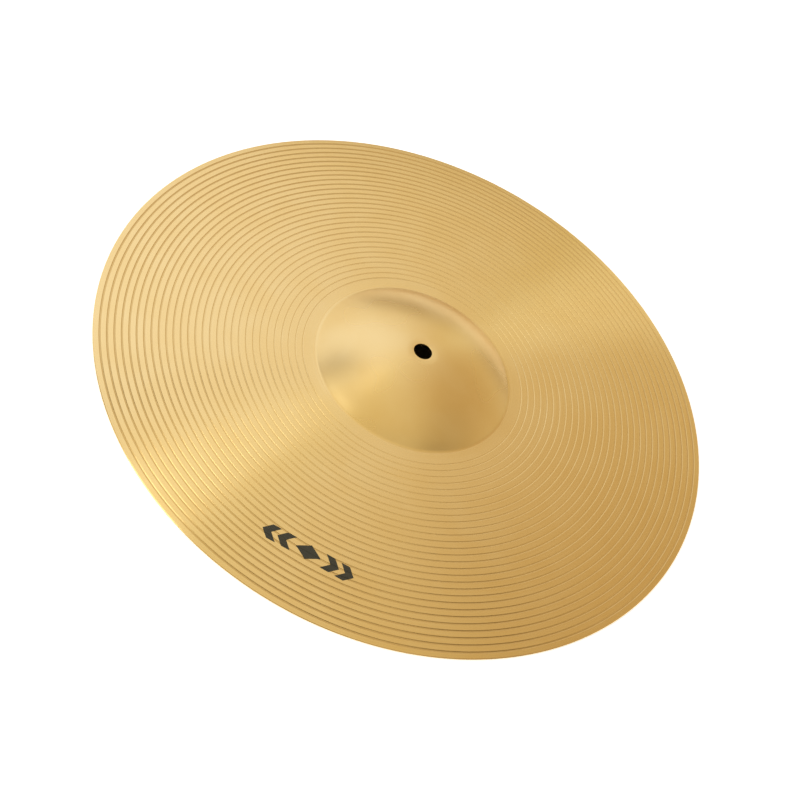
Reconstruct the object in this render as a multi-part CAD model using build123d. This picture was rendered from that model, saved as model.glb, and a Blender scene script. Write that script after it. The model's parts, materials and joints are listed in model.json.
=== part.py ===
from build123d import *
import math
import os

# A 16 inch crash cymbal: one disc of brass sheet with a raised bell and a gently domed bow that has
# tone grooves turned in both sides, and an ornament printed near the edge.
# Millimetres, +Z up, origin on the axis in the plane that the rim rests on.

# Disc
disc_diameter = 406.4
sheet_thickness = 1.1
bow_rise = 22.3  # rise of the bow over the rim, if it ran on to the axis

# Bell
bell_diameter = 128.0  # where the bell and the bow would meet without the blend
bell_radius = 117.0  # radius of the bell's dome
bell_blend = 5.5  # radius of the hollow bend between the bell and the bow
seat_diameter = 20.0  # flat land for the felts round the hole
seat_blend = 25.0
hole_diameter = 12.0
hole_edge_round = 0.2

# Tone grooves, counted on the upper side
groove_count = 29
first_groove_radius = 73.0
groove_pitch = 4.5
groove_tool_radius = 1.05
inner_groove_depth = 0.10  # the grooves get deeper and wider towards the rim
outer_groove_depth = 0.25

# Printed ornament: a diamond between two pairs of chevrons, its top towards the bell
ink_thickness = 0.05
mark_centre_x = -1.0
mark_centre_y = -162.5
mark_height = 10.4
diamond_length = 17.0
chevron_count = 2
chevron_stroke = 6.0  # along the row
chevron_reach = 5.0  # how far the point stands out from the arms
chevron_pitch = 10.2
first_chevron_start = 10.3  # from the middle of the row to the first chevron's arms


def dome_height(radius, centre_height, distance):
    # height of a dome centred on the axis, at a distance from the axis
    return centre_height + math.sqrt(radius**2 - distance**2)


# The middle of the sheet, from the hole to the rim. The rim is rounded over the whole
# thickness, so the middle stops half a thickness short of it.
half_sheet = sheet_thickness / 2
rim_middle = disc_diameter / 2 - half_sheet
bow_radius = (rim_middle**2 + bow_rise**2) / (2 * bow_rise)
bow_centre = half_sheet + bow_rise - bow_radius

bell_foot = bell_diameter / 2
bell_foot_height = dome_height(bow_radius, bow_centre, bell_foot)
bell_centre = bell_foot_height - math.sqrt(bell_radius**2 - bell_foot**2)
seat_edge = seat_diameter / 2
seat_height = dome_height(bell_radius, bell_centre, seat_edge)


def dome_arc(radius, centre_height, start, end):
    # arc of a dome's section between two distances from the axis
    points = []
    for distance in (start, (start + end) / 2, end):
        points.append((distance, 0, dome_height(radius, centre_height, distance)))
    return ThreePointArc(*points)


def make_section():
    # half section of the sheet in the XZ plane, without the hole
    seat_line = Line((hole_diameter / 4, 0, seat_height), (seat_edge, 0, seat_height))
    bell_arc = dome_arc(bell_radius, bell_centre, seat_edge, bell_foot)
    bow_arc = dome_arc(bow_radius, bow_centre, bell_foot, rim_middle)
    middle = Wire([seat_line, bell_arc, bow_arc])
    corners = middle.vertices().sort_by(Axis.X)
    middle = middle.fillet_2d(seat_blend, [corners[1]])
    foot = middle.vertices().filter_by(lambda v: abs(v.X - bell_foot) < 0.01)
    middle = middle.fillet_2d(bell_blend, foot)
    outline = middle.offset_2d(half_sheet)
    return Face(outline)


def groove_tool(step, side):
    # section of the round-nosed tool, some steps out from the first groove; side is 1 on top, -1 underneath
    distance = first_groove_radius + step * groove_pitch
    deepening = (outer_groove_depth - inner_groove_depth) * step / (groove_count - 1)
    lift = groove_tool_radius - inner_groove_depth - deepening
    surface = dome_height(bow_radius + side * half_sheet, bow_centre, distance)
    return Plane.XZ * Pos(distance, surface + side * lift) * Circle(groove_tool_radius)


def cut_grooves(section):
    # grooves in both sides of the bow, those underneath between the upper ones
    tools = []
    for number in range(groove_count):
        tools.append(groove_tool(number, 1))
    for number in range(groove_count - 1):
        tools.append(groove_tool(number + 0.5, -1))
    return section - tools


def make_cymbal(section):
    disc = revolve(section, Axis.Z)
    hole = Pos(0, 0, seat_height) * Cylinder(hole_diameter / 2, 4 * sheet_thickness)
    disc -= hole
    hole_edges = disc.edges().filter_by(
        lambda e: e.geom_type == GeomType.CIRCLE and abs(e.radius - hole_diameter / 2) < 0.001
    )
    return fillet(hole_edges, hole_edge_round)


def mark_outlines():
    # flat outlines of the ornament, centred on its own middle
    half = mark_height / 2
    tip = diamond_length / 2
    outlines = [Polygon((-tip, 0), (0, -half), (tip, 0), (0, half), align=None)]
    for number in range(chevron_count):
        start = first_chevron_start + number * chevron_pitch
        chevron = Polygon(
            (start, -half),
            (start + chevron_stroke, -half),
            (start + chevron_stroke + chevron_reach, 0),
            (start + chevron_stroke, half),
            (start, half),
            (start + chevron_reach, 0),
            align=None,
        )
        outlines.append(chevron)
        outlines.append(mirror(chevron, Plane.YZ))
    return outlines


def make_mark(section):
    # a film of ink that follows the grooved surface, cut out to the ornament's outline
    raised = Pos(0, 0, ink_thickness) * section
    reach = -mark_centre_y
    window = Plane.XZ * Pos(reach, 0) * Rectangle(3 * mark_height, 4 * bow_rise)
    film = revolve((raised - section) & window, Axis.Z)
    pieces = []
    for outline in mark_outlines():
        prism = extrude(Pos(mark_centre_x, mark_centre_y) * outline, 2 * bow_rise)
        pieces += (film & prism).solids()
    return Compound(pieces)


section = cut_grooves(make_section())
parts = {
    "cymbal": make_cymbal(section),
    "printed_mark": make_mark(section),
}

os.makedirs("parts", exist_ok=True)
for name, shape in parts.items():
    export_step(shape, "parts/" + name + ".step")
print("seat height", round(seat_height + half_sheet, 3), "bow radius", round(bow_radius, 1))
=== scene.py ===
import json
import math
import bmesh
import bpy
from mathutils import Matrix, Vector


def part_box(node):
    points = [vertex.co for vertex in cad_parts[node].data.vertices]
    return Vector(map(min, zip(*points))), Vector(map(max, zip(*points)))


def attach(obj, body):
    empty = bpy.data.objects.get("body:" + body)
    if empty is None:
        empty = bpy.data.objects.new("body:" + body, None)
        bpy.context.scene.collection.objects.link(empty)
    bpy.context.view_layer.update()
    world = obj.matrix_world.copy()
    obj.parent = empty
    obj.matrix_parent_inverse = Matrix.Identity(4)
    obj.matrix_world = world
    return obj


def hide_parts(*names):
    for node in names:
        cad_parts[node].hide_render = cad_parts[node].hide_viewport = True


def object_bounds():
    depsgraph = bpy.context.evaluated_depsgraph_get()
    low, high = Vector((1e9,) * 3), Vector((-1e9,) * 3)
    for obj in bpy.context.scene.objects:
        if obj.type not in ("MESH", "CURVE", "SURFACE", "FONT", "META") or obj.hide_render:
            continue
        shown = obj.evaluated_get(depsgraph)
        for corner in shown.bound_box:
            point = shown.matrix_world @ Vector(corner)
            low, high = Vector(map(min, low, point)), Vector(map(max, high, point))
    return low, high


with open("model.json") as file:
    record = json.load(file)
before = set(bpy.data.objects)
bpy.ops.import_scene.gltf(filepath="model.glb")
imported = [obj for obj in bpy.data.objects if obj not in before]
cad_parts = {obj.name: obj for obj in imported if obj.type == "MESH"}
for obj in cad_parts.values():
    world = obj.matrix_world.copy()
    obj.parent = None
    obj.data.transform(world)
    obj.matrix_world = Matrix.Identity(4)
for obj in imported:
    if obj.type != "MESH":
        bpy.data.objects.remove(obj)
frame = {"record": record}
cadLow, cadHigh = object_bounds()
mounts = {mount["name"]: mount for mount in frame["record"]["mounts"]}
scene = bpy.context.scene
scene.view_settings.view_transform = "Standard"

cameraSetup = {
    "elevation": math.radians(47.41),
    "roll": math.radians(29.33),
    "distance": 2.4384,
    "lens": 173.27,
    "aimRight": -0.00122,  # the middle of the view, measured from the cymbal's axis
    "aimDown": 0.00701,
    "clipStart": 0.1,
    "clipEnd": 30,
}


def addCamera(setup):
    outward = Vector((0, -math.cos(setup["elevation"]), math.sin(setup["elevation"])))
    turn = (-outward).to_track_quat("-Z", "Y")
    turn.rotate(Matrix.Rotation(setup["roll"], 3, outward))
    place = outward * setup["distance"]
    aim = turn @ Vector((setup["aimRight"], -setup["aimDown"], 0))
    turn.rotate((-place).rotation_difference(aim - place))
    data = bpy.data.cameras.new("camera")
    data.lens = setup["lens"]
    data.clip_start = setup["clipStart"]
    data.clip_end = setup["clipEnd"]
    camera = bpy.data.objects.new("camera", data)
    camera.rotation_mode = "QUATERNION"
    camera.rotation_quaternion = turn
    camera.location = place
    scene.collection.objects.link(camera)
    scene.camera = camera


def meshObject(name, bm):
    mesh = bpy.data.meshes.new(name)
    bm.to_mesh(mesh)
    bm.free()
    piece = bpy.data.objects.new(name, mesh)
    scene.collection.objects.link(piece)
    return piece


addCamera(cameraSetup)
print("camera set")


# node helpers: a value may be a plain number, a colour or another node's socket
def addNode(tree, kind, inputs=None, **settings):
    node = tree.nodes.new(kind)
    for key, value in settings.items():
        setattr(node, key, value)
    for key, value in (inputs or {}).items():
        if isinstance(value, bpy.types.NodeSocket):
            tree.links.new(value, node.inputs[key])
        else:
            node.inputs[key].default_value = value
    return node


def mathNode(tree, operation, *values):
    return addNode(tree, "ShaderNodeMath", dict(enumerate(values)), operation=operation).outputs[0]


def vectorNode(tree, operation, *values, output="Vector"):
    node = addNode(tree, "ShaderNodeVectorMath", dict(enumerate(values)), operation=operation)
    return node.outputs[output]


def mixColour(tree, amount, first, second):
    inputs = {0: amount, 6: first, 7: second}
    return addNode(tree, "ShaderNodeMix", inputs, data_type="RGBA").outputs[2]


def newMaterial(name):
    material = bpy.data.materials.new(name)
    material.use_nodes = True
    tree = material.node_tree
    tree.nodes.clear()
    shader = addNode(tree, "ShaderNodeBsdfPrincipled")
    addNode(tree, "ShaderNodeOutputMaterial", {"Surface": shader.outputs["BSDF"]})
    return material, tree, shader


# the cymbal, turned as one sheet: seat, bell, foot, bow with its grooves, and the round rim
cymbalShape = {
    "bellFoot": 0.064,  # where bell and bow would meet without the foot's round
    "bellDome": 0.117,
    "bowRise": 0.0223,
    "footRound": 0.0055,
    "seatEdge": 0.010,
    "seatRound": 0.025,
    "holeRound": 0.0002,
    "grooves": 29,
    "firstGroove": 0.073,
    "groovePitch": 0.0045,
    "grooveTool": 0.00105,  # nose radius
    "innerGrooveDepth": 0.00010,  # the grooves get deeper towards the rim
    "outerGrooveDepth": 0.00025,
    "holeSteps": 7,  # steps along each arc of the section
    "seatSteps": 3,
    "bellSteps": 18,
    "footSteps": 8,
    "grooveSteps": 6,
    "rimSteps": 8,
    "turns": 200,
    "weld": 1e-7,
    "sharpFrom": math.radians(17),  # a groove's edges stay crisp, its hollow is smooth
    "grooveLean": 0.9999,  # a cosine: faces that lean further from the bow's dome belong to a groove
}
bowSlot, bellSlot, grooveSlot = range(3)  # material slots of the cymbal's mesh


def sheetPlan(shape):
    # centres and radii of the arcs along the middle of the sheet
    plan = dict(shape)
    plan["sheet"] = mounts["felt_seat_top"]["pos_m"][2] - mounts["felt_seat_under"]["pos_m"][2]
    plan["hole"] = mounts["centre_hole"]["dims"]["r_mm"] / 1000
    low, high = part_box("cymbal")
    half = plan["sheet"] / 2
    reach, rise = (high.x - low.x) / 2 - half, shape["bowRise"]
    plan["rim"] = Vector((reach, 0, half))
    plan["bowDome"] = (reach**2 + rise**2) / (2 * rise)
    plan["bow"] = Vector((0, 0, half + rise - plan["bowDome"]))
    footHeight = plan["bow"].z + math.sqrt(plan["bowDome"] ** 2 - shape["bellFoot"] ** 2)
    plan["bell"] = Vector((0, 0, footHeight - math.sqrt(shape["bellDome"] ** 2 - shape["bellFoot"] ** 2)))
    plan["seatHeight"] = plan["bell"].z + math.sqrt(shape["bellDome"] ** 2 - shape["seatEdge"] ** 2)
    # the seat's round lies inside the bell's dome
    inside, height = shape["bellDome"] - shape["seatRound"], plan["seatHeight"] - shape["seatRound"]
    plan["seat"] = Vector((math.sqrt(inside**2 - (height - plan["bell"].z) ** 2), 0, height))
    # the foot's round lies outside both domes
    toBell, toBow = shape["bellDome"] + shape["footRound"], plan["bowDome"] + shape["footRound"]
    bellZ, bowZ = plan["bell"].z, plan["bow"].z
    height = (toBell**2 - toBow**2 - bellZ**2 + bowZ**2) / (2 * (bowZ - bellZ))
    plan["foot"] = Vector((math.sqrt(toBell**2 - (height - bellZ) ** 2), 0, height))
    return plan


def clock(point, centre):
    # angle from straight up, turning outwards
    return math.atan2(point.x - centre.x, point.z - centre.z)


def arcTo(section, tip, centre, angle, steps):
    # draws from the tip round a centre, up to a clock angle
    swing = (angle - clock(tip.co, centre) + math.pi) % math.tau - math.pi
    drawn = bmesh.ops.spin(section, geom=[tip], cent=centre, axis=(0, 1, 0), angle=swing, steps=steps)
    return next(item for item in drawn["geom_last"] if isinstance(item, bmesh.types.BMVert))


def lineTo(section, tip, x, z):
    drawn = bmesh.ops.extrude_vert_indiv(section, verts=[tip])
    drawn["verts"][0].co = (x, 0, z)
    return drawn["verts"][0]


def onDome(centre, radius, angle):
    return centre + Vector((math.sin(angle), 0, math.cos(angle))) * radius


def drawGrooves(section, tip, plan, side, steps, lift=0.0):
    # side is 1 on the top and -1 underneath; steps are counted from the first groove
    surface = plan["bowDome"] + side * plan["sheet"] / 2 + lift
    tool, deepening = plan["grooveTool"], plan["outerGrooveDepth"] - plan["innerGrooveDepth"]
    for step in steps:
        middle = math.asin((plan["firstGroove"] + step * plan["groovePitch"]) / surface)
        depth = plan["innerGrooveDepth"] + deepening * step / (plan["grooves"] - 1)
        axle = surface + side * (tool - depth)
        edge = side * math.acos((surface**2 + axle**2 - tool**2) / (2 * surface * axle))
        toolCentre = onDome(plan["bow"], axle, middle)
        tip = arcTo(section, tip, plan["bow"], middle - edge, 1)
        far = clock(onDome(plan["bow"], surface, middle + edge), toolCentre)
        tip = arcTo(section, tip, toolCentre, far, plan["grooveSteps"])
    return tip


def drawSection(plan):
    # out along the top, round the rim and back underneath
    section = bmesh.new()
    bell, foot, bow, seat = plan["bell"], plan["foot"], plan["bow"], plan["seat"]
    half, hole, edge = plan["sheet"] / 2, plan["hole"], plan["holeRound"]
    top, under = plan["seatHeight"] + half, plan["seatHeight"] - half
    grooves = range(plan["grooves"])
    between = [number - 0.5 for number in reversed(grooves[1:])]
    rimAngle = clock(plan["rim"], bow)
    start = section.verts.new((hole, 0, top - edge))
    tip = arcTo(section, start, Vector((hole + edge, 0, top - edge)), 0.0, plan["holeSteps"])
    tip = lineTo(section, tip, seat.x, top)
    tip = arcTo(section, tip, seat, clock(seat, bell), plan["seatSteps"])
    tip = arcTo(section, tip, bell, clock(foot, bell), plan["bellSteps"])
    tip = arcTo(section, tip, foot, clock(bow, foot), plan["footSteps"])
    tip = drawGrooves(section, tip, plan, 1, grooves)
    tip = arcTo(section, tip, bow, rimAngle, 1)
    tip = arcTo(section, tip, plan["rim"], rimAngle + math.pi / 2, plan["rimSteps"])
    tip = arcTo(section, tip, plan["rim"], rimAngle + math.pi, plan["rimSteps"])
    tip = drawGrooves(section, tip, plan, -1, between)
    tip = arcTo(section, tip, bow, clock(foot, bow), 1)
    tip = arcTo(section, tip, foot, clock(bell, foot), plan["footSteps"])
    tip = arcTo(section, tip, bell, clock(seat, bell), plan["bellSteps"])
    tip = arcTo(section, tip, seat, 0.0, plan["seatSteps"])
    tip = lineTo(section, tip, hole + edge, under)
    tip = arcTo(section, tip, Vector((hole + edge, 0, under + edge)), -math.pi / 2, plan["holeSteps"])
    section.edges.new((tip, start))
    return section


def finishOf(face, plan):
    # the slot of the brass that a face shows
    middle = face.calc_center_median()
    upright = abs(face.normal.dot((middle - plan["bow"]).normalized()))
    if middle.xy.length < plan["foot"].x:
        return bellSlot
    if upright < plan["grooveLean"] and middle.xy.length < plan["rim"].x:
        return grooveSlot
    return bowSlot


def makeCymbal(plan):
    body = drawSection(plan)
    bmesh.ops.spin(
        body, geom=body.verts[:] + body.edges[:], cent=(0, 0, 0), axis=(0, 0, 1),
        angle=math.tau, steps=plan["turns"], use_merge=True,
    )
    bmesh.ops.remove_doubles(body, verts=body.verts[:], dist=plan["weld"])
    bmesh.ops.recalc_face_normals(body, faces=body.faces[:])
    for face in body.faces:
        face.smooth = True
        face.material_index = finishOf(face, plan)
    for edge in body.edges:
        edge.smooth = edge.calc_face_angle() < plan["sharpFrom"]
    cymbal = meshObject("cymbal_disc", body)
    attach(cymbal, "root")
    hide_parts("cymbal")
    return cymbal


# marks that the finishes share: how close together each noise runs, and how broken up it is
markSizes = {
    "acrossLines": 1500.0,  # the lathe's lines are thin across and long round the axis
    "alongLines": 14.0,
    "lineDetail": 3.0,
    "clouds": 38.0,
    "cloudDetail": 4.0,
    "cloudDrift": 0.4,
    "waves": 26.0,
    "waveDetail": 1.0,
}
noiseRange = (0.25, 0.75)  # where nearly all of a noise's values lie

brassFinish = {
    "colour": (0.84, 0.57, 0.22, 1),
    "pale": (0.87, 0.62, 0.27, 1),  # thin lines and clouds that catch more light
    "cloudPaleness": (0.2, 1.0),
    "linePaleness": (0.4, 1.0),
    "grooveShadeColour": (0.72, 0.47, 0.172, 1),  # painted shade: a darker colour down in the grooves, strongest where they are deeper
    "shadeFrom": 0.085,
    "shadeTo": 0.185,
    "bowRoughness": (0.18, 0.23),
    "bowDrag": 0.75,  # how far the lathe's lines stretch the shine across them
    "dragTurn": 0.25,  # part of a turn from the lines' own direction
    "lineHeight": 0.000004,
    "grooveRoughness": (0.27, 0.32),
    "grooveDrag": 0.94,
    "bellRoughness": (0.26, 0.33),
    "bellWave": 0.00035,
}


def surfacePattern(sizes):
    # lines run round the axis, clouds drift over the whole surface, waves are the slow dents of pressed sheet
    group = bpy.data.node_groups.new("surface_pattern", "ShaderNodeTree")
    for name in ("Lines", "Clouds", "Waves", "Radius"):
        group.interface.new_socket(name=name, in_out="OUTPUT", socket_type="NodeSocketFloat")
    place = addNode(group, "ShaderNodeTexCoord").outputs["Object"]
    parts = addNode(group, "ShaderNodeSeparateXYZ", {0: place})
    flat = addNode(group, "ShaderNodeCombineXYZ", {"X": parts.outputs["X"], "Y": parts.outputs["Y"]})
    radius = vectorNode(group, "LENGTH", flat.outputs[0], output="Value")
    along = addNode(group, "ShaderNodeCombineXYZ", {
        "X": mathNode(group, "MULTIPLY", radius, sizes["acrossLines"]),
        "Y": mathNode(group, "MULTIPLY", parts.outputs["X"], sizes["alongLines"]),
        "Z": mathNode(group, "MULTIPLY", parts.outputs["Y"], sizes["alongLines"]),
    })
    lines = addNode(group, "ShaderNodeTexNoise", {
        "Vector": along.outputs[0], "Scale": 1.0, "Detail": sizes["lineDetail"],
    })
    clouds = addNode(group, "ShaderNodeTexNoise", {
        "Vector": place, "Scale": sizes["clouds"],
        "Detail": sizes["cloudDetail"], "Distortion": sizes["cloudDrift"],
    })
    waves = addNode(group, "ShaderNodeTexNoise", {
        "Vector": place, "Scale": sizes["waves"], "Detail": sizes["waveDetail"],
    })
    out = addNode(group, "NodeGroupOutput")
    for name, noise in (("Lines", lines), ("Clouds", clouds), ("Waves", waves)):
        group.links.new(noise.outputs["Fac"], out.inputs[name])
    group.links.new(radius, out.inputs["Radius"])
    return group


def fade(tree, value, start, end, low, high):
    # goes softly from low to high while the value goes from start to end
    inputs = {"Value": value, 1: start, 2: end, 3: low, 4: high}
    return addNode(tree, "ShaderNodeMapRange", inputs, interpolation_type="SMOOTHSTEP").outputs[0]


def spread(tree, noise, low, high):
    return fade(tree, noise, *noiseRange, low, high)


def bumpUp(tree, shader, height, distance):
    bump = addNode(tree, "ShaderNodeBump", {"Distance": distance, "Height": height})
    tree.links.new(bump.outputs["Normal"], shader.inputs["Normal"])


def startBrass(name, pattern, grain, roughness):
    # bare metal whose roughness follows one of the pattern's marks
    material, tree, shader = newMaterial(name)
    marks = addNode(tree, "ShaderNodeGroup", node_tree=pattern).outputs
    tree.links.new(spread(tree, marks[grain], *roughness), shader.inputs["Roughness"])
    shader.inputs["Metallic"].default_value = 1
    return material, tree, shader, marks


def brassColour(tree, marks, grain, finish):
    clouds = spread(tree, marks["Clouds"], *finish["cloudPaleness"])
    lines = spread(tree, marks[grain], *finish["linePaleness"])
    return mixColour(tree, mathNode(tree, "MULTIPLY", clouds, lines), finish["colour"], finish["pale"])


def turnOnLathe(tree, shader, marks, drag, finish):
    # fine lines round the axis that stretch the shine
    tangent = addNode(tree, "ShaderNodeTangent", direction_type="RADIAL", axis="Z")
    tree.links.new(tangent.outputs["Tangent"], shader.inputs["Tangent"])
    shader.inputs["Anisotropic"].default_value = drag
    shader.inputs["Anisotropic Rotation"].default_value = finish["dragTurn"]
    bumpUp(tree, shader, marks["Lines"], finish["lineHeight"])


def turnedBrass(pattern, finish):
    material, tree, shader, marks = startBrass("turned_brass", pattern, "Lines", finish["bowRoughness"])
    tree.links.new(brassColour(tree, marks, "Lines", finish), shader.inputs["Base Color"])
    turnOnLathe(tree, shader, marks, finish["bowDrag"], finish)
    return material


def pressedBrass(pattern, finish):
    material, tree, shader, marks = startBrass("pressed_brass", pattern, "Waves", finish["bellRoughness"])
    tree.links.new(brassColour(tree, marks, "Waves", finish), shader.inputs["Base Color"])
    bumpUp(tree, shader, marks["Waves"], finish["bellWave"])
    return material


def grooveBrass(pattern, finish):
    material, tree, shader, marks = startBrass("groove_brass", pattern, "Lines", finish["grooveRoughness"])
    # painted shade: the grooves' colour darkens outwards from the axis, where the grooves are deeper
    outward = {"Value": marks["Radius"], 1: finish["shadeFrom"], 2: finish["shadeTo"]}
    shadeAmount = addNode(tree, "ShaderNodeMapRange", outward).outputs[0]
    metal = brassColour(tree, marks, "Lines", finish)
    metal = mixColour(tree, shadeAmount, metal, finish["grooveShadeColour"])
    tree.links.new(metal, shader.inputs["Base Color"])
    turnOnLathe(tree, shader, marks, finish["grooveDrag"], finish)
    return material


plan = sheetPlan(cymbalShape)
cymbal = makeCymbal(plan)
pattern = surfacePattern(markSizes)
for makeBrass in (turnedBrass, pressedBrass, grooveBrass):  # in the order of the slots
    cymbal.data.materials.append(makeBrass(pattern, brassFinish))
print("cymbal turned,", len(cymbal.data.polygons), "faces")


# the printed ornament: a film of ink that follows the grooves, cut to a diamond between chevrons
ornamentShape = {
    "centre": Vector((-0.001, -0.1625, 0)),
    "halfHeight": 0.0052,
    "halfDiamond": 0.0085,
    "chevrons": 2,  # on each side
    "chevronStart": 0.0103,
    "chevronPitch": 0.0102,
    "chevronStroke": 0.006,
    "chevronReach": 0.005,
    "ink": 0.00005,
    "groovesEachWay": 3,
    "arc": math.radians(24),
    "arcSteps": 60,
    "weld": 1e-6,
}


def ornamentOutlines(shape):
    # convex outlines, each a list of corners round the middle of the ornament
    height, width, stroke, reach = (
        shape["halfHeight"], shape["halfDiamond"], shape["chevronStroke"], shape["chevronReach"])
    outlines = [[(-width, 0), (0, -height), (width, 0), (0, height)]]
    for number in range(shape["chevrons"]):
        start = shape["chevronStart"] + number * shape["chevronPitch"]
        for side in (-1, 1):
            for end in (-height, height):
                corners = [
                    (start, end), (start + stroke, end), (start + stroke + reach, 0), (start + reach, 0)]
                outlines.append([(side * x, y) for x, y in corners])
    return outlines


def cutOut(strip, corners, centre):
    # keeps what lies inside a convex outline
    middle = sum((Vector((x, y, 0)) for x, y in corners), Vector()) / len(corners)
    for number, (x, y) in enumerate(corners):
        nextX, nextY = corners[(number + 1) % len(corners)]
        outward = Vector((nextY - y, x - nextX, 0))
        if outward.dot(Vector((x, y, 0)) - middle) < 0:
            outward.negate()
        bmesh.ops.bisect_plane(
            strip, geom=strip.verts[:] + strip.edges[:] + strip.faces[:],
            plane_co=centre + Vector((x, y, 0)), plane_no=outward, clear_outer=True,
        )


def inkStrip(shape, plan):
    # an arc of film that lies over the grooves nearest to the ornament
    nearest = round((-shape["centre"].y - plan["firstGroove"]) / plan["groovePitch"])
    steps = range(nearest - shape["groovesEachWay"], nearest + shape["groovesEachWay"] + 1)
    surface = plan["bowDome"] + plan["sheet"] / 2 + shape["ink"]
    strip = bmesh.new()
    start = math.asin((plan["firstGroove"] + (steps[0] - 0.5) * plan["groovePitch"]) / surface)
    tip = strip.verts.new(onDome(plan["bow"], surface, start))
    drawGrooves(strip, tip, plan, 1, steps, lift=shape["ink"])
    turn = Matrix.Rotation(-math.pi / 2 - shape["arc"] / 2, 3, "Z")
    bmesh.ops.rotate(strip, verts=strip.verts[:], cent=(0, 0, 0), matrix=turn)
    bmesh.ops.spin(
        strip, geom=strip.verts[:] + strip.edges[:], cent=(0, 0, 0), axis=(0, 0, 1),
        angle=shape["arc"], steps=shape["arcSteps"],
    )
    return strip


def makeOrnament(shape, plan):
    strip = inkStrip(shape, plan)
    film = bmesh.new()
    for corners in ornamentOutlines(shape):
        cut = strip.copy()
        cutOut(cut, corners, shape["centre"])
        scrap = bpy.data.meshes.new("scrap")
        cut.to_mesh(scrap)
        cut.free()
        film.from_mesh(scrap)
        bpy.data.meshes.remove(scrap)
    strip.free()
    bmesh.ops.remove_doubles(film, verts=film.verts[:], dist=shape["weld"])
    bmesh.ops.recalc_face_normals(film, faces=film.faces[:])
    if sum(face.normal.z for face in film.faces) < 0:
        bmesh.ops.reverse_faces(film, faces=film.faces[:])
    bmesh.ops.solidify(film, geom=film.faces[:], thickness=shape["ink"])
    for face in film.faces:
        face.smooth = True
    for edge in film.edges:
        edge.smooth = edge.calc_face_angle(math.pi) < plan["sharpFrom"]
    ornament = meshObject("printed_ornament", film)
    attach(ornament, "root")
    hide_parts("printed_mark")
    return ornament


inkFinish = {
    "colour": (0.030, 0.026, 0.012, 1),
    "thin": (0.062, 0.050, 0.020, 1),  # where the metal's lines show through the ink
    "lineWear": (0.0, 1.0),
    "cloudWear": (0.3, 1.0),
    "roughness": (0.45, 0.65),
}


def printingInk(pattern, finish):
    material, tree, shader = newMaterial("printing_ink")
    marks = addNode(tree, "ShaderNodeGroup", node_tree=pattern).outputs
    lines = spread(tree, marks["Lines"], *finish["lineWear"])
    clouds = spread(tree, marks["Clouds"], *finish["cloudWear"])
    wear = mathNode(tree, "MULTIPLY", lines, clouds)
    tree.links.new(mixColour(tree, wear, finish["colour"], finish["thin"]), shader.inputs["Base Color"])
    tree.links.new(spread(tree, marks["Clouds"], *finish["roughness"]), shader.inputs["Roughness"])
    return material


ornament = makeOrnament(ornamentShape, plan)
ornament.data.materials.append(printingInk(pattern, inkFinish))
print("ornament printed,", len(ornament.data.polygons), "faces")


floorSetup = {
    "reach": 8,
    "segments": 96,
    "white": (0.9, 0.9, 0.9, 1),
    "roughness": 0.9,
    "glow": 0.55,  # the floor is lit through, except under the cymbal
    "shaded": 0.99,  # how much of the cymbal's reach stays unlit
}


def addFloor(setup):
    disc = bmesh.new()
    bmesh.ops.create_circle(disc, cap_ends=True, segments=setup["segments"], radius=setup["reach"])
    bmesh.ops.translate(disc, verts=disc.verts[:], vec=(0, 0, cadLow.z))
    floor = meshObject("floor", disc)
    material, tree, shader = newMaterial("floor_white")
    shader.inputs["Base Color"].default_value = setup["white"]
    shader.inputs["Roughness"].default_value = setup["roughness"]
    place = addNode(tree, "ShaderNodeTexCoord").outputs["Object"]
    outward = vectorNode(tree, "LENGTH", place, output="Value")
    beside = mathNode(tree, "GREATER_THAN", outward, cadHigh.x * setup["shaded"])
    tree.links.new(beside, shader.inputs["Emission Color"])
    shader.inputs["Emission Strength"].default_value = setup["glow"]
    floor.data.materials.append(material)


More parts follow.
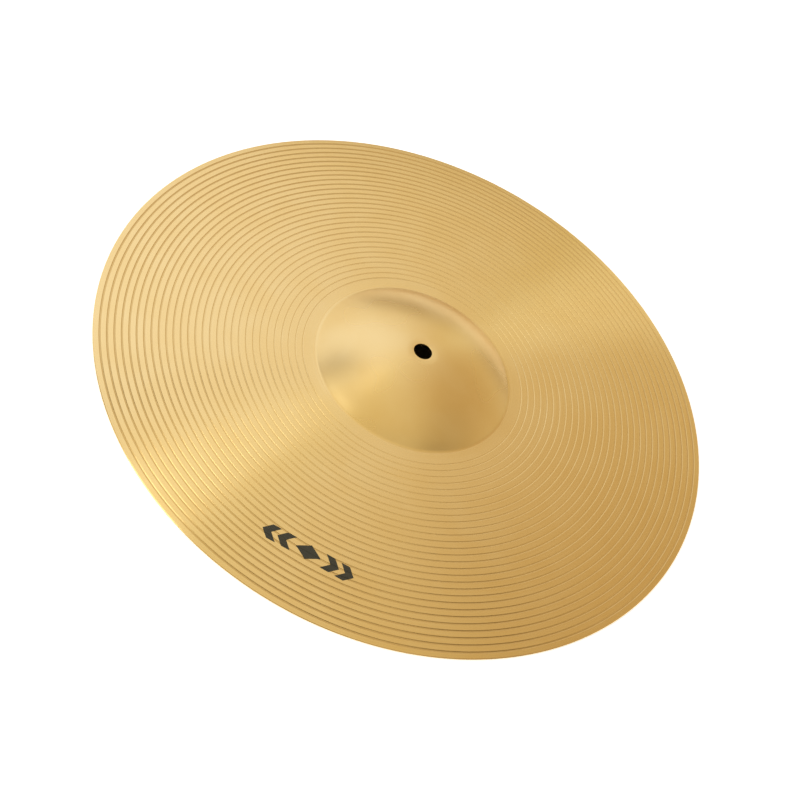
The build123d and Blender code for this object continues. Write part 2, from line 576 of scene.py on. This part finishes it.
# soft studio light: a light tent with soft panels, each given by its compass angle from +X and its tilt
# from straight up; it is whole out to the inner angle from its middle and gone at the outer one, in degrees
studio = {
    "tent": (0.83, 0.76, 0.56, 1),
    "panels": [
        {"angle": 50, "tilt": 45, "inner": 4, "outer": 48, "cover": 1.0, "light": (0.62, 0.50, 0.325, 1)},
        {"angle": 140, "tilt": 48, "inner": 9, "outer": 53, "cover": 1.0, "light": (1.11, 1.20, 1.44, 1)},
        # everything low down, so its edges are the other way round
        {"angle": 0, "tilt": 0, "inner": 90, "outer": 76, "cover": 0.4, "light": (0.30, 0.25, 0.19, 1)},
        # low on the far side
        {"angle": 102, "tilt": 94, "inner": 15, "outer": 27, "cover": 0.8, "light": (0.42, 0.36, 0.29, 1)},
        {"angle": 70, "tilt": 97, "inner": 14, "outer": 26, "cover": 0.7, "light": (0.45, 0.39, 0.33, 1)},
        {"angle": 138, "tilt": 82, "inner": 14, "outer": 28, "cover": 0.8, "light": (0.98, 0.98, 0.95, 1)},
        # the dark room on the near side, with low lights in it
        {"angle": 205, "tilt": 88, "inner": 20, "outer": 42, "cover": 1.0, "light": (0.12, 0.10, 0.07, 1)},
        {"angle": 275, "tilt": 80, "inner": 40, "outer": 57, "cover": 1.0, "light": (0.06, 0.05, 0.035, 1)},
        {"angle": 340, "tilt": 90, "inner": 20, "outer": 45, "cover": 1.0, "light": (0.12, 0.10, 0.07, 1)},
        *({"angle": angle, "tilt": 91, "inner": 10, "outer": 29, "cover": 0.85,
           "light": (0.74, 0.66, 0.50, 1)} for angle in (225, 265, 305)),
        # patches of shade higher up, on the right and the left
        {"angle": 334, "tilt": 54, "inner": 15, "outer": 24, "cover": 0.95, "light": (0.10, 0.08, 0.06, 1)},
        {"angle": 8, "tilt": 38, "inner": 15, "outer": 21, "cover": 0.35, "light": (0.32, 0.23, 0.12, 1)},
        {"angle": 168, "tilt": 38, "inner": 6, "outer": 15, "cover": 0.9, "light": (0.22, 0.18, 0.12, 1)},
    ],
    # strips of light that spread out level from the point that a flat disc mirrors to the camera: the angle
    # is the strip's direction, the spread its half width, and it comes in between near and far from the point
    "strips": [
        {"angle": 250, "spread": 8, "soft": 8, "near": 0.05, "far": 0.12, "cover": 0.35,
         "light": (0.75, 0.71, 0.40, 1)},
        {"angle": 236.75, "spread": 10.75, "soft": 0.9, "near": 0.05, "far": 0.12, "cover": 0.32,
         "light": (1.22, 1.29, 1.22, 1)},
        {"angle": 235, "spread": 12.5, "soft": 0.9, "near": 0.50, "far": 0.60, "cover": 1.0,
         "light": (0.80, 0.76, 0.64, 1)},
        {"angle": 239.25, "spread": 7.75, "soft": 0.9, "near": 0.42, "far": 0.50, "cover": 1.0,
         "light": (1.24, 1.24, 1.12, 1)},
        {"angle": 239.25, "spread": 7.75, "soft": 0.9, "near": 0.82, "far": 0.88, "cover": 0.9,
         "light": (0.78, 0.73, 0.58, 1)},
        {"angle": 239.25, "spread": 7.75, "soft": 0.9, "near": 1.05, "far": 1.12, "cover": 1.0,
         "light": (3.0, 3.3, 3.6, 1)},
    ],
}


def hangPanel(tree, light, panel, direction):
    angle, tilt = math.radians(panel["angle"]), math.radians(panel["tilt"])
    middle = (math.sin(tilt) * math.cos(angle), math.sin(tilt) * math.sin(angle), math.cos(tilt))
    facing = vectorNode(tree, "DOT_PRODUCT", direction, middle, output="Value")
    away = mathNode(tree, "ARCCOSINE", facing)
    amount = fade(tree, away, math.radians(panel["outer"]), math.radians(panel["inner"]), 0, panel["cover"])
    return mixColour(tree, amount, light, panel["light"])


def hangStrip(tree, light, strip, outward, reach):
    # the distance beside it has no sign, so a strip has a twin on the opposite side
    angle, half, soft = (math.radians(strip[key]) for key in ("angle", "spread", "soft"))
    across = (-math.sin(angle), math.cos(angle), 0)
    beside = mathNode(tree, "ABSOLUTE", vectorNode(tree, "DOT_PRODUCT", outward, across, output="Value"))
    beside = mathNode(tree, "DIVIDE", beside, reach)
    inside = fade(tree, beside, math.sin(half + soft), math.sin(half - soft), 0, strip["cover"])
    beyond = fade(tree, reach, strip["near"], strip["far"], 0, 1)
    return mixColour(tree, mathNode(tree, "MULTIPLY", inside, beyond), light, strip["light"])


def addWorld(setup):
    world = bpy.data.worlds.new("studio")
    world.use_nodes = True
    scene.world = world
    tree = world.node_tree
    direction = addNode(tree, "ShaderNodeTexCoord").outputs["Generated"]
    light = setup["tent"]
    for panel in setup["panels"]:
        light = hangPanel(tree, light, panel, direction)
    mirrored = (0, math.cos(cameraSetup["elevation"]), 0)
    level = vectorNode(tree, "MULTIPLY", direction, (1, 1, 0))
    outward = vectorNode(tree, "SUBTRACT", level, mirrored)
    reach = vectorNode(tree, "LENGTH", outward, output="Value")
    for strip in setup["strips"]:
        light = hangStrip(tree, light, strip, outward, reach)
    seen = addNode(tree, "ShaderNodeLightPath").outputs["Is Camera Ray"]
    background = tree.nodes["Background"]
    tree.links.new(mixColour(tree, seen, light, (1, 1, 1, 1)), background.inputs["Color"])


addFloor(floorSetup)
addWorld(studio)
print("floor and light set")
